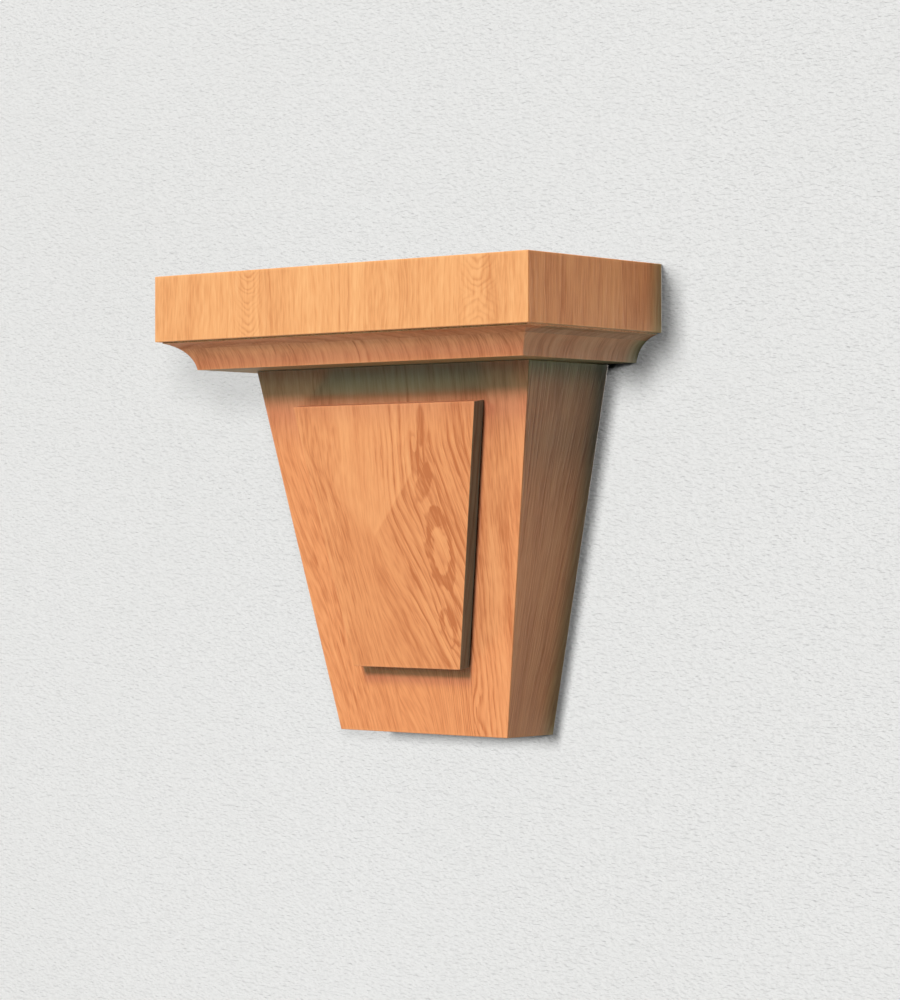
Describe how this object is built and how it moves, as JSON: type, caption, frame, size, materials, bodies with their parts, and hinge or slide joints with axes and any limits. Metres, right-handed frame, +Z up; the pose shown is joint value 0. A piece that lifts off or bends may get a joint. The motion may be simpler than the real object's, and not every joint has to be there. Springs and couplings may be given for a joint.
{
  "type": "corbel shelf",
  "caption": "Solid oak wall shelf on a corbel: a thick square-edged cap, a coved board under it and a tapered block faced with a raised panel.",
  "frame": {"origin": "on the back plane that stands against the wall, centred across the width, at half the height of the tapered body", "axes": "+X along the shelf's width, +Y into the wall, +Z up; the front faces -Y"},
  "size_m": [0.305, 0.1295, 0.289],
  "materials": {
    "cap_oak": "sanded oak, satin oil",
    "cove_oak": "sanded oak, satin oil",
    "body_oak": "sanded oak, satin oil",
    "panel_oak": "sanded oak, satin oil"
  },
  "bodies": {
    "root": {"shelf_cap": "cap_oak", "coved_board": "cove_oak", "tapered_body": "body_oak", "raised_panel": "panel_oak"}
  },
  "joints": []
}
